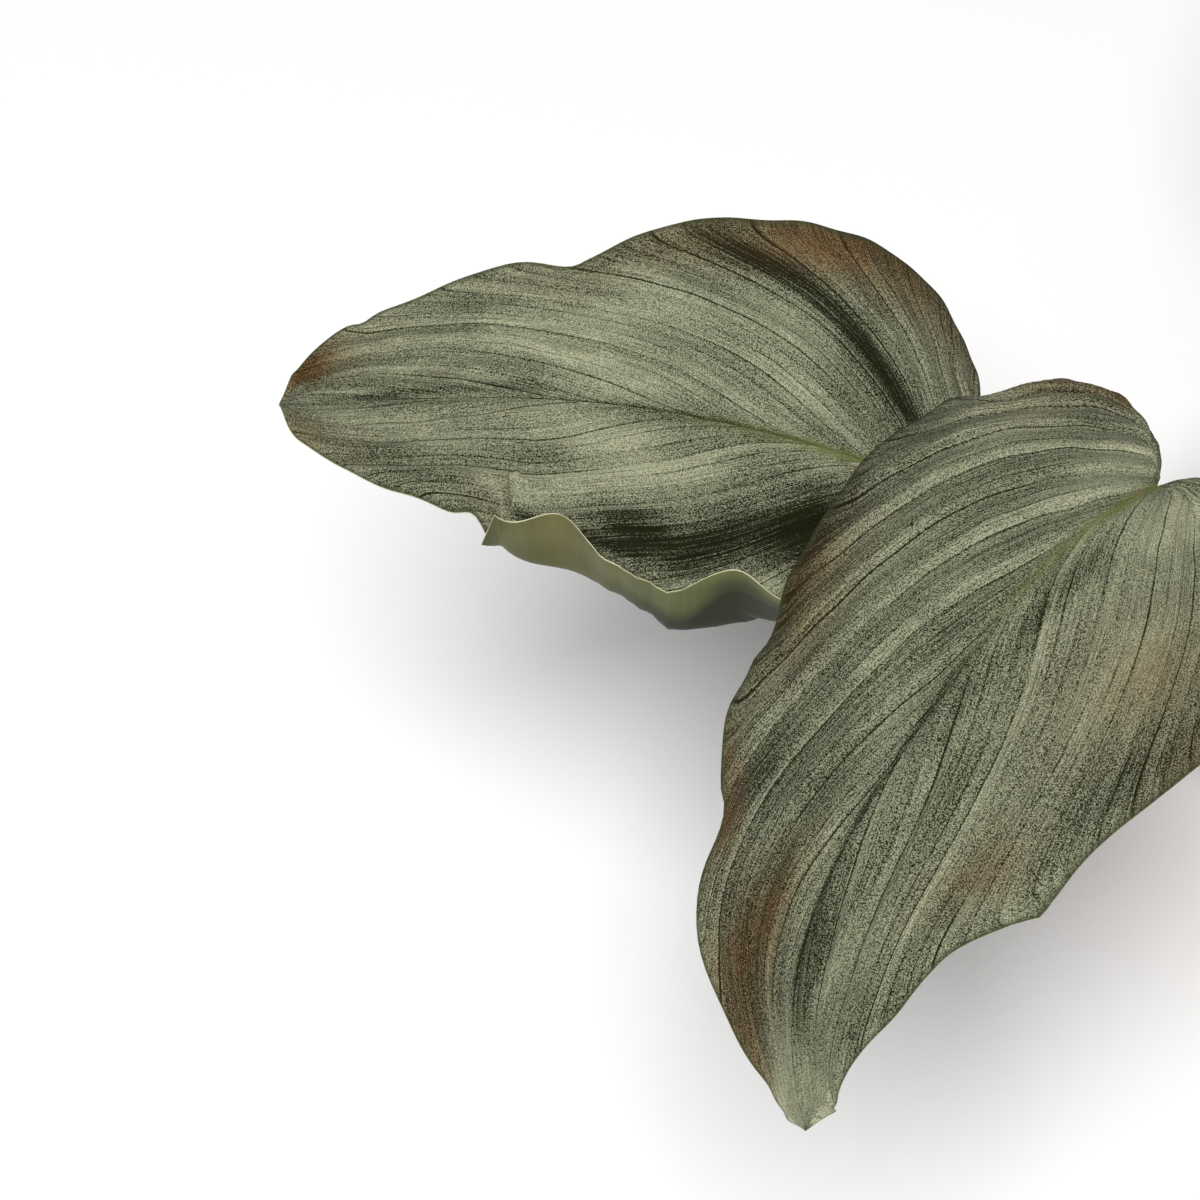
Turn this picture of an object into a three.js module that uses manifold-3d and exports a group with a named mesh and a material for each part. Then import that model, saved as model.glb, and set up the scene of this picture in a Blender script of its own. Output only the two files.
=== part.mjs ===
// A potted velvet-leaved Homalomena: seven open leaves and one rolled leaf in a plain nursery pot.
// Millimetres, +Z up, origin at the centre of the pot's foot.
import * as THREE from 'three';
import { mergeVertices } from 'three/addons/utils/BufferGeometryUtils.js';
import Module from 'manifold-3d';

const wasm = await Module();
wasm.setup();

// Pot
const potHeight = 95;
const potRimRadius = 52;
const potRimBand = 17; // height of the thicker band at the top
const potBandStep = 2.2; // how far the band stands out from the side
const potFootRadius = 37;
const potWall = 2.4;
const potSides = 48;
const drainHoleCount = 6;
const drainHoleRadius = 4;
const drainHoleRing = 27;
const potEdge = 0.8; // bevels at the foot and along the rim band
const potBandRise = 1.5; // height over which the side steps out to the band
const potTaper = 1.2; // how much narrower the side is there than at the rim, beside the step
const drainHoleSides = 14;

// Soil
const soilTop = 84;
const soilGap = 0.3;
const soilRelief = 2.2; // bark and grit stand this far above and below the level
const soilRings = 7;
const soilSides = 36;
const soilCalm = [3, 14]; // the relief sets in between these distances outside the crown
const holeSides = 12;

// Petioles
const crownRadius = 9.5; // the open leaves' petioles stand in a ring of this radius
const crownStart = 340; // direction of the first of them
const petioleFootRadius = 2.9;
const petioleTopRadius = 1.7;
const keelTipRadius = 0.55; // the midrib's keel under the blade tapers to this
const keelStart = 0.03; // shares of the midrib between which there is a keel
const keelEnd = 0.86;
const keelBite = 0.5; // how far the keel reaches into the blade
const petioleDepth = 12; // how deep it stands in the soil
const petioleCollar = 3; // straight stretch above the soil
const petioleSides = 6;
const bendSteps = 12; // points along the bend from the collar to the blade
const bendEntry = 0.35; // the bend's last handle, in shares of the petiole's span
const holeClearance = 0.4;

// Blades
const bladeThickness = 0.8;
const fanEnd = 0.28; // outline share whose rays all start where the petiole joins
const footPower = 1.25;
const curlSteps = 8; // steps of the curl's sum between two columns
const midribSteps = 96;

// Outline stations run evenly from the notch between the lobes round to the tip.
// s is along the midrib and t is across it. Angles are in degrees.
// A heading of 0 points along -X, 90 along -Y. A positive pitch points down.
const frontLeaf = {
  name: 'leaf_front',
  length: 138.5,
  base: [-88.5, -50.5, 190],
  heading: [38, 51, 60, 112],
  pitch: [-24, 9, 29, 45],
  roll: [-10, 6, 0],
  left: {
    s: [0, -15, -21, -18, -5, 15, 41, 71, 101, 129, 138.5],
    t: [0, 4, 15, 29, 39, 44, 42, 34, 22, 9.5, 0],
    dihedral: [10, -4, 0],
    curl: [-40, -35, -30, -20, 0],
    curlFrom: [0.4, 0.5],
    waves: [
      { at: 0.65, width: -1.2, spread: 0.04 },
      { at: 0.732, width: 2.4, spread: 0.022 },
      { at: 0.78, width: -1, spread: 0.02 },
      { at: 0.835, width: 0.9, spread: 0.02 },
      { at: 0.965, width: 3.4, spread: 0.025 },
    ],
  },
  right: {
    s: [0, -8, -17, -21.5, -7, 15, 41, 70, 100, 128, 138.5],
    t: [0, 6, 15, 28.5, 38, 43, 41, 34, 23.5, 6, 0],
    dihedral: [-6, -12, 0],
    curl: [-60, -50, -30, -15, 0],
    curlFrom: [0.4, 0.5],
    waves: [
      { at: 0.345, width: 1.5, spread: 0.03 },
      { at: 0.405, width: -1.4, spread: 0.02 },
      { at: 0.732, width: 1.6, spread: 0.016 },
      { at: 0.783, width: -3.8, spread: 0.027 },
      { at: 0.845, width: 0.8, spread: 0.02 },
      { at: 0.912, width: -1.3, spread: 0.02 },
      { at: 0.97, width: 0.9, spread: 0.015 },
    ],
  },
  rows: 26,
  columns: evenly(8),
  arrive: 50,
  lift: 0.35,
};

const leftLeaf = {
  name: 'leaf_left',
  length: 115,
  base: [-131.5, -36, 172],
  heading: [-18, -13, -6, -5],
  pitch: [-8, 1, 9, 12],
  roll: [0, -5, 0],
  left: {
    s: [0, -10, -16, -15, -11, -6, 4, 16, 29, 47, 66, 82, 98, 110, 115],
    t: [0, 2, 8, 14, 20, 27, 34, 40, 41, 38, 33, 21.5, 15, 8, 0],
    dihedral: [-28, -30, -30, -24, -12, -4, 0],
    curl: [103, 103],
    curlFrom: [0.62, 0.62, 0.62, 0.62, 0.62, 0.62, 0.56, 0.53, 0.67, 0.57, 0.6, 0.63, 0.6, 0.6, 0.6],
    curlTo: [0.8, 0.8],
    rolls: [
      { at: 0.533, more: 27, spread: 0.05 },
      { at: 0.683, more: 21, spread: 0.025 },
    ],
    tuck: { from: 0.728, to: 0.748, width: 11, curlFrom: 0.731, curlTo: 0.75 },
    waves: [
      { at: 0.752, width: -4.2, spread: 0.012 },
      { at: 0.83, width: 0.8, spread: 0.03 },
    ],
  },
  right: {
    s: [0, -12, -16, -10, 0, 16, 37, 60, 85, 108, 115],
    t: [0, 6, 15, 25, 36, 41, 38, 30, 22, 11, 0],
    dihedral: [-2, 18, 4],
    curl: [-60, -50, -20, 0, 0],
    curlFrom: [0.4, 0.5],
    waves: [
      { at: 0.33, width: 1, spread: 0.03 },
      { at: 0.63, width: 0.7, spread: 0.02 },
      { at: 0.705, width: -4, spread: 0.028 },
      { at: 0.88, width: 1.2, spread: 0.02 },
      { at: 0.97, width: 2.2, spread: 0.022 },
    ],
  },
  rows: 26,
  columns: [0, 0.22, 0.42, 0.57, 0.66, 0.74, 0.82, 0.91, 1],
  arrive: 30,
  lift: 0.2,
};

// The leaves on the other sides share one outline, given for a midrib of this length.
const commonLength = 130;
const commonS = [0, -15, -21, -17, -4, 15, 40, 68, 97, 123, 130];
const commonT = [0, 5, 17, 29, 38, 42, 40, 33, 21, 7, 0];
const otherLeaves = [
  { name: 'leaf_young', turn: 96, reach: 30, height: 198, length: 86, swing: 10, rise: 34, droop: 26 },
  { name: 'leaf_right_front', turn: 132, reach: 76, height: 150, length: 120, swing: -10, rise: 4, droop: 46 },
  { name: 'leaf_right', turn: 174, reach: 96, height: 184, length: 132, swing: 12, rise: 16, droop: 44 },
  { name: 'leaf_right_back', turn: 218, reach: 76, height: 152, length: 122, swing: -6, rise: 4, droop: 40 },
  { name: 'leaf_back', turn: 262, reach: 80, height: 186, length: 126, swing: -10, rise: 18, droop: 42 },
];
const leafCount = 2 + otherLeaves.length;
const otherRows = 18;
const otherColumns = 6;
const otherRuffle = { swing: 18, period: 0.17, crest: 0.55 };
const otherSlopes = { left: 4, right: -2, fall: 8 }; // a half's rise from the midrib, and its drop towards the tip
const otherCurl = [-45, -40, -30, -18, 0];
const otherArrive = 58;
const otherLift = 0.45;

// The rolled leaf
const rolledBase = [-3, -4, 130];
const rolledTip = [-9, -13, 188];
const rolledPetioleRadii = [2.4, 2.4, 2.1, 2]; // at the foot, the collar, halfway up and under the roll
const rolledBladeRadii = [2.7, 3.8, 4.2, 4, 3.2, 2.1, 1, 0.4]; // evenly spaced up the roll
const rolledSides = 10;

const bladeColor = '#66705c';
const rolledColor = '#8d9a63';
const potColor = '#9a5f47';
const soilColor = '#4a392c';

function radians(degrees) {
  return degrees * Math.PI / 180;
}

// A smooth curve through values at evenly spaced stations, read at x from 0 to 1.
function along(values, x) {
  const last = values.length - 1;
  const place = Math.min(Math.max(x, 0), 1) * last;
  const k = Math.min(Math.floor(place), last - 1);
  const f = place - k;
  const b = values[k];
  const c = values[k + 1];
  const a = k > 0 ? values[k - 1] : 2 * b - c;
  const d = k + 2 <= last ? values[k + 2] : 2 * c - b;
  return 0.5 * (2 * b + (c - a) * f + (2 * a - 5 * b + 4 * c - d) * f * f + (3 * b - a - 3 * c + d) * f ** 3);
}

function evenly(count) {
  return Array.from({ length: count + 1 }, (_, i) => i / count);
}

function ease(from, to, x) {
  const t = Math.min(Math.max((x - from) / (to - from), 0), 1);
  return t * t * (3 - 2 * t);
}

function meshOf(name, geometry, color, roughness) {
  const material = new THREE.MeshStandardMaterial({ color, roughness, metalness: 0 });
  const mesh = new THREE.Mesh(geometry, material);
  mesh.name = name;
  return mesh;
}

function geometryOf(positions, triangles) {
  const geometry = new THREE.BufferGeometry();
  geometry.setAttribute('position', new THREE.Float32BufferAttribute(positions, 3));
  geometry.setIndex(triangles);
  return geometry;
}

function solidOf(geometry) {
  const bare = geometry.clone();
  bare.deleteAttribute('normal');
  bare.deleteAttribute('uv');
  const merged = mergeVertices(bare, 1e-3);
  return new wasm.Manifold(new wasm.Mesh({
    numProp: 3,
    vertProperties: new Float32Array(merged.attributes.position.array),
    triVerts: new Uint32Array(merged.index.array),
  }));
}

function geometryFrom(solid) {
  const mesh = solid.getMesh();
  return geometryOf(Array.from(mesh.vertProperties), Array.from(mesh.triVerts));
}

// The midrib as points with their frames: tangent, the direction to the leaf's left, and the upper side.
function midribOf(leaf) {
  const points = [];
  const at = new THREE.Vector3(...leaf.base);
  let before = null;
  for (let i = 0; i <= midribSteps; i += 1) {
    const s = i / midribSteps;
    const heading = radians(along(leaf.heading, s));
    const pitch = radians(along(leaf.pitch, s));
    const roll = radians(along(leaf.roll, s));
    const tangent = new THREE.Vector3(
      -Math.cos(pitch) * Math.cos(heading),
      -Math.cos(pitch) * Math.sin(heading),
      -Math.sin(pitch),
    );
    const across = new THREE.Vector3(0, 0, 1).cross(tangent).normalize();
    const above = new THREE.Vector3().crossVectors(tangent, across);
    const left = across.clone().multiplyScalar(Math.cos(roll)).addScaledVector(above, Math.sin(roll));
    const normal = new THREE.Vector3().crossVectors(tangent, left);
    if (before) {
      const step = leaf.length / midribSteps;
      at.addScaledVector(before.clone().add(tangent), step / 2);
    }
    points.push({ at: at.clone(), tangent, left, normal });
    before = tangent;
  }
  return points;
}

function midribAt(midrib, s) {
  const place = Math.min(Math.max(s, 0), 1) * midribSteps;
  const k = Math.min(Math.floor(place), midribSteps - 1);
  const f = place - k;
  const mixed = {};
  for (const key of ['at', 'tangent', 'left', 'normal']) {
    mixed[key] = midrib[k][key].clone().lerp(midrib[k + 1][key], f);
  }
  return mixed;
}

// Where on the midrib the ray to outline station u starts.
function footAt(u) {
  return Math.max((u - fanEnd) / (1 - fanEnd), 0) ** footPower;
}

// One outline point of a half: how far along and across, in shares of the length.
function outlineAt(leaf, half, u) {
  let across = along(half.t, u);
  let tucked = 1;
  if (half.tuck) {
    tucked = ease(half.tuck.curlTo, half.tuck.curlFrom, u);
    across += half.tuck.width * ease(half.tuck.to, half.tuck.from, u) * ease(0, 0.3, u);
  }
  for (const wave of half.waves ?? []) {
    across += wave.width * Math.exp(-(((u - wave.at) / wave.spread) ** 2));
  }
  return { s: along(half.s, u) / leaf.length, t: across / leaf.length, tucked };
}

// A row of blade points from the midrib out to the edge, each with its upper normal.
function bladeRow(leaf, midrib, side, u, columns) {
  const half = side > 0 ? leaf.left : leaf.right;
  const outline = outlineAt(leaf, half, u);
  const foot = footAt(u);
  const frame = midribAt(midrib, foot);
  const ds = (outline.s - foot) * leaf.length;
  const dt = outline.t * leaf.length;
  const reach = Math.hypot(ds, dt);
  const outward = frame.tangent.clone().multiplyScalar(ds / reach);
  outward.addScaledVector(frame.left, side * dt / reach).normalize();
  const slope = radians(along(half.dihedral, u));
  let curl = along(half.curl, u);
  if (half.curlWave) {
    curl += half.curlWave.swing * Math.cos(2 * Math.PI * (u - half.curlWave.crest) / half.curlWave.period);
  }
  for (const roll of half.rolls ?? []) {
    curl += roll.more * Math.exp(-(((u - roll.at) / roll.spread) ** 2));
  }
  curl = radians(curl * outline.tucked);
  const from = along(half.curlFrom, u);
  const to = half.curlTo ? along(half.curlTo, u) : 1;
  const row = [];
  let out = 0;
  let up = 0;
  columns.forEach((v, j) => {
    const width = j > 0 ? (v - columns[j - 1]) / curlSteps : 0;
    for (let i = 0; j > 0 && i < curlSteps; i += 1) {
      const middle = slope + curl * ease(from, to, columns[j - 1] + (i + 0.5) * width);
      out += Math.cos(middle) * width;
      up += Math.sin(middle) * width;
    }
    const angle = slope + curl * ease(from, to, v);
    const at = frame.at.clone().addScaledVector(outward, reach * out).addScaledVector(frame.normal, reach * up);
    const normal = outward.clone().multiplyScalar(-Math.sin(angle));
    normal.addScaledVector(frame.normal, Math.cos(angle));
    row.push({ at, normal });
  });
  return row;
}

// The blade as one closed shell: every face of the upper side has its twin on the lower side.
function bladeGeometry(leaf, midrib) {
  const rows = leaf.rows;
  const columns = leaf.columns.length - 1;
  const spots = [];
  const ids = new Map();
  const idOf = (key, make) => {
    if (!ids.has(key)) {
      ids.set(key, spots.length);
      spots.push(make());
    }
    return ids.get(key);
  };
  const faces = [];
  const addFace = (a, b, c) => {
    if (a !== b && b !== c && c !== a) faces.push([a, b, c]);
  };
  for (const side of [1, -1]) {
    const lines = [];
    for (let i = 0; i <= rows; i += 1) {
      const u = i / rows;
      const foot = footAt(u);
      const middle = () => {
        const frame = midribAt(midrib, foot);
        return { at: frame.at, normal: frame.normal };
      };
      const line = [];
      const closed = i === 0 || i === rows;
      const row = closed ? null : bladeRow(leaf, midrib, side, u, leaf.columns);
      for (let j = 0; j <= columns; j += 1) {
        if (j === 0 || closed) line.push(idOf(`rib${foot}`, middle));
        else line.push(idOf(`${side}:${i}:${j}`, () => row[j]));
      }
      lines.push(line);
    }
    for (let i = 0; i < rows; i += 1) {
      for (let j = 0; j < columns; j += 1) {
        const [a, b, c, d] = [lines[i][j], lines[i + 1][j], lines[i + 1][j + 1], lines[i][j + 1]];
        if (side > 0) {
          addFace(a, b, c);
          addFace(a, c, d);
        } else {
          addFace(a, c, b);
          addFace(a, d, c);
        }
      }
    }
  }
  const positions = [];
  for (const sign of [1, -1]) {
    for (const spot of spots) {
      const p = spot.at.clone().addScaledVector(spot.normal.clone().normalize(), sign * bladeThickness / 2);
      positions.push(p.x, p.y, p.z);
    }
  }
  const count = spots.length;
  const triangles = [];
  const edges = new Map();
  for (const [a, b, c] of faces) {
    triangles.push(a, b, c, a + count, c + count, b + count);
    for (const [p, q] of [[a, b], [b, c], [c, a]]) edges.set(`${p},${q}`, [p, q]);
  }
  for (const [p, q] of edges.values()) {
    if (!edges.has(`${q},${p}`)) triangles.push(p, p + count, q, q, p + count, q + count);
  }
  return geometryOf(positions, triangles);
}

// A closed tube through points, its radius given at each of them.
function taperedTube(points, radii, sides) {
  const positions = [];
  const triangles = [];
  let reference = new THREE.Vector3(0.31, 0.95, 0.02).normalize();
  for (let i = 0; i < points.length; i += 1) {
    const next = points[Math.min(i + 1, points.length - 1)];
    const last = points[Math.max(i - 1, 0)];
    const tangent = next.clone().sub(last).normalize();
    reference = reference.clone().addScaledVector(tangent, -reference.dot(tangent)).normalize();
    const other = new THREE.Vector3().crossVectors(tangent, reference);
    for (let k = 0; k < sides; k += 1) {
      const angle = 2 * Math.PI * k / sides;
      const p = points[i].clone().addScaledVector(reference, radii[i] * Math.cos(angle));
      p.addScaledVector(other, radii[i] * Math.sin(angle));
      positions.push(p.x, p.y, p.z);
    }
  }
  for (let i = 0; i < points.length - 1; i += 1) {
    for (let k = 0; k < sides; k += 1) {
      const a = i * sides + k;
      const b = i * sides + (k + 1) % sides;
      triangles.push(a, b, b + sides, a, b + sides, a + sides);
    }
  }
  const end = (points.length - 1) * sides;
  for (let k = 1; k < sides - 1; k += 1) {
    triangles.push(0, k + 1, k, end, end + k, end + k + 1);
  }
  return geometryOf(positions, triangles);
}

// Where an open leaf's petiole stands in the soil.
function crownPoint(place, z) {
  const turn = radians(crownStart + 360 * place / leafCount);
  return new THREE.Vector3(-crownRadius * Math.cos(turn), -crownRadius * Math.sin(turn), z);
}

// The petiole rises from the crown, bends out to the blade and runs on as the keel under the midrib.
function petioleGeometry(leaf, midrib) {
  const foot = crownPoint(leaf.place, soilTop - petioleDepth);
  const collar = crownPoint(leaf.place, soilTop + petioleCollar);
  const below = bladeThickness / 2 - keelBite;
  const start = midribAt(midrib, keelStart);
  const join = start.at.clone().addScaledVector(start.normal, -below - petioleTopRadius);
  const span = join.distanceTo(collar);
  const flat = new THREE.Vector3(start.tangent.x, start.tangent.y, 0).normalize();
  const arrive = radians(leaf.arrive);
  const coming = flat.multiplyScalar(Math.cos(arrive)).setZ(Math.sin(arrive));
  const rise = collar.clone().add(new THREE.Vector3(0, 0, span * leaf.lift));
  const enter = join.clone().addScaledVector(coming, -span * bendEntry);
  const bend = new THREE.CubicBezierCurve3(collar, rise, enter, join);
  const points = [foot];
  const radii = [petioleFootRadius];
  for (let i = 0; i <= bendSteps; i += 1) {
    points.push(bend.getPoint(i / bendSteps));
    radii.push(THREE.MathUtils.lerp(petioleFootRadius, petioleTopRadius, i / bendSteps));
  }
  for (let i = 1; i < leaf.rows; i += 1) {
    const s = footAt(i / leaf.rows);
    if (s > keelStart + 0.02 && s < keelEnd) {
      const frame = midribAt(midrib, s);
      const radius = THREE.MathUtils.mapLinear(s, keelStart, keelEnd, petioleTopRadius, keelTipRadius);
      points.push(frame.at.clone().addScaledVector(frame.normal, -below - radius));
      radii.push(radius);
    }
  }
  return taperedTube(points, radii, petioleSides);
}

function leafMesh(leaf) {
  const midrib = midribOf(leaf);
  const blade = solidOf(bladeGeometry(leaf, midrib));
  const petiole = solidOf(petioleGeometry(leaf, midrib));
  return meshOf(leaf.name, geometryFrom(blade.add(petiole)), bladeColor, 0.75);
}

// A leaf on the far sides of the plant, made from the common outline.
function otherLeaf(plan) {
  const scale = plan.length / commonLength;
  const turned = radians(plan.turn);
  const half = (slope) => ({
    s: commonS.map((value) => value * scale),
    t: commonT.map((value) => value * scale),
    dihedral: [slope, slope - otherSlopes.fall, 0],
    curl: otherCurl,
    curlFrom: [0.4, 0.5],
    curlWave: otherRuffle,
  });
  return {
    name: plan.name,
    length: plan.length,
    base: [-plan.reach * Math.cos(turned), -plan.reach * Math.sin(turned), plan.height],
    heading: [plan.turn, plan.turn + plan.swing / 2, plan.turn + plan.swing],
    pitch: [-plan.rise, plan.droop * 0.25, plan.droop * 0.7, plan.droop],
    roll: [0, 0],
    left: half(otherSlopes.left),
    right: half(otherSlopes.right),
    rows: otherRows,
    columns: evenly(otherColumns),
    arrive: otherArrive,
    lift: otherLift,
  };
}

// The new leaf, still rolled round itself on its own short petiole.
function rolledLeafMesh() {
  const foot = new THREE.Vector3(0, 0, soilTop - petioleDepth);
  const collar = new THREE.Vector3(0, 0, soilTop + petioleCollar);
  const base = new THREE.Vector3(...rolledBase);
  const tip = new THREE.Vector3(...rolledTip);
  const points = [foot, collar, collar.clone().lerp(base, 0.5), base];
  const radii = [...rolledPetioleRadii];
  rolledBladeRadii.forEach((radius, i) => {
    points.push(base.clone().lerp(tip, (i + 1) / rolledBladeRadii.length));
    radii.push(radius);
  });
  return meshOf('leaf_rolled', taperedTube(points, radii, rolledSides), rolledColor, 0.6);
}

function potMesh() {
  const bandFoot = potHeight - potRimBand;
  const sideRadius = potRimRadius - potBandStep;
  const profile = [
    [0, 0],
    [potFootRadius - potEdge, 0],
    [potFootRadius, potEdge],
    [sideRadius - potTaper, bandFoot - potBandRise],
    [potRimRadius - potEdge, bandFoot],
    [potRimRadius, potHeight - 1],
    [potRimRadius - 1, potHeight],
    [potRimRadius - potWall, potHeight],
    [potRimRadius - potWall - potEdge, bandFoot + 1],
    [sideRadius - potWall - potTaper, bandFoot - 2],
    [potFootRadius - potWall, potWall],
    [0, potWall],
  ].map(([x, y]) => new THREE.Vector2(x, y));
  let pot = solidOf(new THREE.LatheGeometry(profile, potSides).rotateX(Math.PI / 2));
  for (let i = 0; i < drainHoleCount; i += 1) {
    const angle = 2 * Math.PI * i / drainHoleCount;
    const hole = new THREE.CylinderGeometry(drainHoleRadius, drainHoleRadius, 4 * potWall, drainHoleSides);
    hole.rotateX(Math.PI / 2);
    hole.translate(drainHoleRing * Math.cos(angle), drainHoleRing * Math.sin(angle), potWall / 2);
    pot = pot.subtract(solidOf(hole));
  }
  return meshOf('pot', geometryFrom(pot), potColor, 0.6);
}

// A rough, repeatable height for the soil at a place: coarse bark chips over finer grit.
function soilHeight(x, y) {
  const coarse = Math.sin(x * 0.31 + 1.3 * Math.sin(y * 0.23)) * Math.cos(y * 0.37 - 0.8 * Math.sin(x * 0.19));
  const fine = Math.sin(x * 0.9 + 2.1) * Math.cos(y * 0.83 - 0.6);
  return soilRelief * (0.65 * coarse + 0.35 * fine);
}

function soilMesh() {
  const bandFoot = potHeight - potRimBand;
  const innerTop = potRimRadius - potWall - potEdge - soilGap;
  const innerSide = potRimRadius - potBandStep - potWall - potTaper - soilGap;
  const floor = potWall + soilGap;
  const profile = [
    [0, floor],
    [potFootRadius - potWall - soilGap - 0.3, floor],
    [innerSide - 0.2, bandFoot - 2],
    [innerTop - 0.2, bandFoot + 1],
    [innerTop, soilTop - soilRelief],
  ].map(([x, y]) => new THREE.Vector2(x, y));
  for (let i = 0; i <= soilRings; i += 1) {
    profile.push(new THREE.Vector2((innerTop - 0.6) * (1 - i / soilRings), soilTop));
  }
  const body = new THREE.LatheGeometry(profile, soilSides).rotateX(Math.PI / 2);
  const place = body.attributes.position;
  for (let i = 0; i < place.count; i += 1) {
    if (place.getZ(i) > soilTop - 0.5) {
      const [x, y] = [place.getX(i), place.getY(i)];
      const calm = ease(crownRadius + soilCalm[0], crownRadius + soilCalm[1], Math.hypot(x, y));
      place.setZ(i, soilTop + calm * soilHeight(x, y));
    }
  }
  let soil = solidOf(body);
  const holeHeight = petioleDepth + 8;
  const holeMiddle = soilTop - petioleDepth - soilGap + holeHeight / 2;
  const holes = [new THREE.Vector3(0, 0, holeMiddle)];
  for (let place = 0; place < leafCount; place += 1) holes.push(crownPoint(place, holeMiddle));
  for (const at of holes) {
    const radius = petioleFootRadius + holeClearance;
    const hole = new THREE.CylinderGeometry(radius, radius, holeHeight, holeSides).rotateX(Math.PI / 2);
    soil = soil.subtract(solidOf(hole.translate(at.x, at.y, at.z)));
  }
  return meshOf('soil', geometryFrom(soil), soilColor, 0.95);
}

const plant = new THREE.Group();
plant.add(potMesh());
plant.add(soilMesh());
const leaves = [leftLeaf, frontLeaf, ...otherLeaves.map(otherLeaf)];
leaves.forEach((leaf, place) => plant.add(leafMesh({ ...leaf, place })));
plant.add(rolledLeafMesh());

export default plant;
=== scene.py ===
import math
import random

import bmesh
import bpy
import numpy as np
from mathutils import Matrix, Vector


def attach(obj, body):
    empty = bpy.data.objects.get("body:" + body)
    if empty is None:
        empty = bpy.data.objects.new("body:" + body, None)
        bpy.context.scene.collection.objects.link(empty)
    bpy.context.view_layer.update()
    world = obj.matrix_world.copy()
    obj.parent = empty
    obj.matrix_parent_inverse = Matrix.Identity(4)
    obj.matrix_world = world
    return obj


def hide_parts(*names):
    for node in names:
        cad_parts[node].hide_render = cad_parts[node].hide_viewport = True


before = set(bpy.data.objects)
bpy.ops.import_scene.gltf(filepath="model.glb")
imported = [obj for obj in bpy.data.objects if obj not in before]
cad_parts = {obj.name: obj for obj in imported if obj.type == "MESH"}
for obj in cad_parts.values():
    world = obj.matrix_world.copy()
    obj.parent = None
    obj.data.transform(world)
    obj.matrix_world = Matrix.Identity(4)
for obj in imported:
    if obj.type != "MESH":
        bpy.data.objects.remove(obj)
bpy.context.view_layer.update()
mm = 0.001


# Smooth values along evenly spaced stations, by the same rule as in the solids.
def along(values, x):
    v = np.asarray(values, float)
    x = np.clip(np.asarray(x, float), 0, 1)
    last = len(v) - 1
    k = np.minimum((x * last).astype(int), last - 1)
    f = x * last - k
    a = np.where(k > 0, v[np.maximum(k - 1, 0)], 2 * v[0] - v[1])
    b = v[k]
    c = v[k + 1]
    d = np.where(k + 2 <= last, v[np.minimum(k + 2, last)], 2 * v[last] - v[last - 1])
    return 0.5 * (2 * b + (c - a) * f + (2 * a - 5 * b + 4 * c - d) * f * f
                  + (3 * b - a - 3 * c + d) * f ** 3)


# Rises from 0 at start to 1 at end, or falls where end lies below start.
def ease(start, end, x):
    t = np.clip((x - start) / (end - start), 0, 1)
    return t * t * (3 - 2 * t)


# A soft hill of height 1 around the middle.
def bump(x, middle, spread):
    return np.exp(-((x - middle) / spread) ** 2)


# A slow wander with no visible repeat, from a few sines.
def wander(x, y, seed):
    waves = ((3.1, 5.3, 1), (7.7, -4.1, 2.3), (13.9, 9.7, 4.1), (-11.3, 5.9, 1.7))
    return sum(np.sin(a * x + b * y + c * seed) for a, b, c in waves) / len(waves)


# The midrib as a path: places, directions, and the blade's left and upper side along it.
def midribOf(leaf, steps=160):
    s = np.linspace(0, 1, steps + 1)
    heading = np.radians(along(leaf["heading"], s))
    pitch = np.radians(along(leaf["pitch"], s))
    roll = np.radians(along(leaf["roll"], s))
    flat = np.cos(pitch)
    tangent = np.stack([-flat * np.cos(heading), -flat * np.sin(heading), -np.sin(pitch)], 1)
    level = np.cross([0, 0, 1.0], tangent)
    level /= np.linalg.norm(level, axis=1)[:, None]
    above = np.cross(tangent, level)
    left = level * np.cos(roll)[:, None] + above * np.sin(roll)[:, None]
    at = np.zeros_like(tangent)
    at[1:] = np.cumsum((tangent[1:] + tangent[:-1]) / 2 * (leaf["length"] / steps), 0)
    return {"s": s, "at": at + np.array(leaf["base"]), "tangent": tangent, "left": left,
            "normal": np.cross(tangent, left)}


def readMidrib(midrib, key, s):
    s = np.clip(s, 0, 1)
    return np.stack([np.interp(s, midrib["s"], midrib[key][:, k]) for k in range(3)], -1)


# How every blade is laid out. u runs from the notch between the lobes to the tip, v from midrib to margin.
bladeForm = {
    "fanEnd": 0.28, "footPower": 1.25,  # up to fanEnd the veins leave the base, then the midrib
    "evenColumns": 0.3, "columnPower": 1.5,  # columns crowd towards the midrib
    "curlSteps": 16,  # finer steps of the curl within one column
    "veinGap": 0.14, "veinReach": 0.66, "veinCrowd": 0.5, "veinBend": 1.6, "veinWander": 0.1,
    "veinHook": 0.12, "hookWidth": 0.035,  # each vein starts with a short hook
    "marginWander": 0.5, "faceWander": 0.5, "puffLevel": 0.45, "grooveDepth": 0.35, "grooveWidth": 1.6,
    "thinMargin": 0.5, "rimBulge": 0.45,
    "streakShift": 40, "streakLean": 0.6,  # the halves have streaks of their own, and they lean outwards
}


def footOf(u):
    fanEnd = bladeForm["fanEnd"]
    return np.clip((u - fanEnd) / (1 - fanEnd), 0, 1) ** bladeForm["footPower"]


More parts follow.
